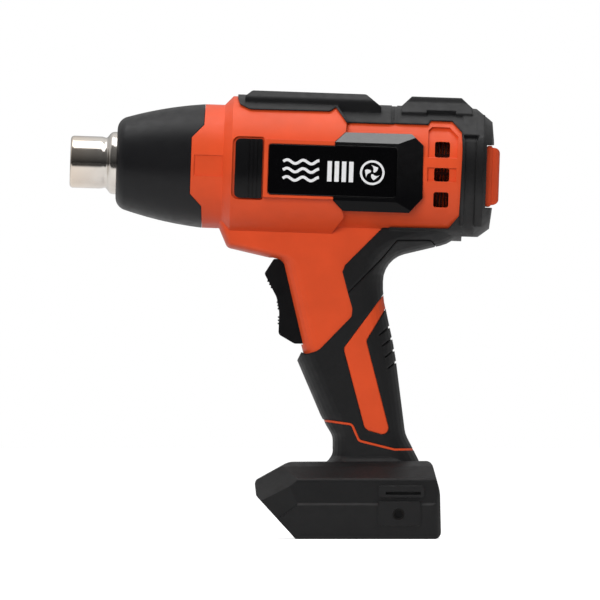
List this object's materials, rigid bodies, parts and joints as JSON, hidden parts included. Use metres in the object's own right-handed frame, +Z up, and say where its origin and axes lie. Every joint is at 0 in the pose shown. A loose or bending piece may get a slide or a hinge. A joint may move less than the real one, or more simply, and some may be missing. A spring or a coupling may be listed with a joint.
{
  "type": "heat gun",
  "caption": "Cordless pistol-grip heat gun, body only: steel nozzle, black front shroud, orange barrel with side plates, soft grip, sprung trigger and a slide-on battery foot.",
  "frame": {"origin": "centre of the bounding box at its bottom: the point of the ground under the middle of the tool, which stands on its battery foot", "axes": "+X from the nozzle towards the rear of the barrel, +Y to the tool's right side, +Z up from the foot's underside; the barrel points 1.9 degrees nose up"},
  "size_m": [0.215, 0.076, 0.2238],
  "materials": {
    "orange_shell": "satin moulded glass-filled nylon",
    "orange_soft": "matte soft elastomer",
    "overmould": "matte soft-touch overmould",
    "shroud_plastic": "matte heat-resistant moulding",
    "foot_plastic": "fine-textured moulding",
    "plate_gloss": "high-gloss plate",
    "frame_plastic": "satin moulding",
    "slider_plastic": "satin moulding",
    "trigger_plastic": "satin moulding",
    "nozzle_steel": "polished stainless steel, lightly heat tinted",
    "insert_steel": "blackened, knurled",
    "bush_bronze": "sintered",
    "screw_steel": "blackened steel",
    "tube_steel": "rolled stainless sheet",
    "mica": "layered mica sheet",
    "nichrome": "oxidised nickel-chrome wire",
    "ceramic": "fired ceramic",
    "fuse_metal": "plated",
    "duct_plastic": "moulded high-temperature plastic",
    "motor_steel": "zinc plated",
    "magnet_ferrite": "sintered ferrite",
    "armature_steel": "stacked laminations",
    "fan_plastic": "moulded",
    "screen_mesh": "moulded screen",
    "plunger_plastic": "moulded",
    "spring_steel": "drawn spring wire",
    "board_green": "solder-masked board",
    "heatsink_aluminium": "extruded",
    "terminal_plastic": "moulded",
    "contact_brass": "stamped blades",
    "lead_red": "silicone insulation",
    "lead_black": "silicone insulation",
    "lead_white": "glass-fibre sleeve"
  },
  "bodies": {
    "body": {"housing_left": "orange_shell", "housing_right": "orange_shell", "rear_pad": "orange_soft", "top_rail": "overmould", "bumper_left": "overmould", "bumper_right": "overmould", "grip_left": "overmould", "grip_right": "overmould", "front_shroud": "shroud_plastic", "foot_left": "foot_plastic", "foot_right": "foot_plastic", "nameplate_left": "plate_gloss", "nameplate_right": "plate_gloss", "plate_frame_left": "frame_plastic", "plate_frame_right": "frame_plastic", "nozzle": "nozzle_steel", "hook_inserts": "insert_steel", "motor_bushes": "bush_bronze", "housing_screws": "screw_steel", "heat_shield_tube": "tube_steel", "mica_liner": "mica", "heater_core": "mica", "heater_coil": "nichrome", "heater_base": "ceramic", "thermal_fuse": "fuse_metal", "air_duct": "duct_plastic", "motor_mount": "duct_plastic", "motor_end_cap": "duct_plastic", "motor_can": "motor_steel", "motor_magnets": "magnet_ferrite", "intake_screen_left": "screen_mesh", "intake_screen_right": "screen_mesh", "switch_body": "plunger_plastic", "mode_switch": "plunger_plastic", "control_board": "board_green", "heatsink": "heatsink_aluminium", "terminal_block": "terminal_plastic", "battery_contacts": "contact_brass", "battery_leads": "lead_red", "motor_leads": "lead_black", "heater_leads": "lead_white"},
    "trigger": {"trigger": "trigger_plastic", "switch_plunger": "plunger_plastic", "trigger_spring": "spring_steel"},
    "selector": {"mode_slider": "slider_plastic"},
    "rotor": {"motor_shaft": "motor_steel", "armature": "armature_steel", "impeller": "fan_plastic"}
  },
  "joints": [
    {"name": "trigger_slide", "type": "slide", "parent": "body", "child": "trigger", "axis": [1, 0, 0], "range_m": [0, 0.0065], "stiffness_N_per_m": 700, "springref_m": -0.003, "deforming": ["trigger_spring"]},
    {"name": "mode_slide", "type": "slide", "parent": "body", "child": "selector", "axis": [-0.9995, 0, 0.0332], "range_m": [0, 0.0012]},
    {"name": "fan_spin", "type": "hinge", "parent": "body", "child": "rotor", "pos_m": [0.06221, 0, 0.18276], "axis": [0.9995, 0, -0.0332], "continuous": true}
  ]
}
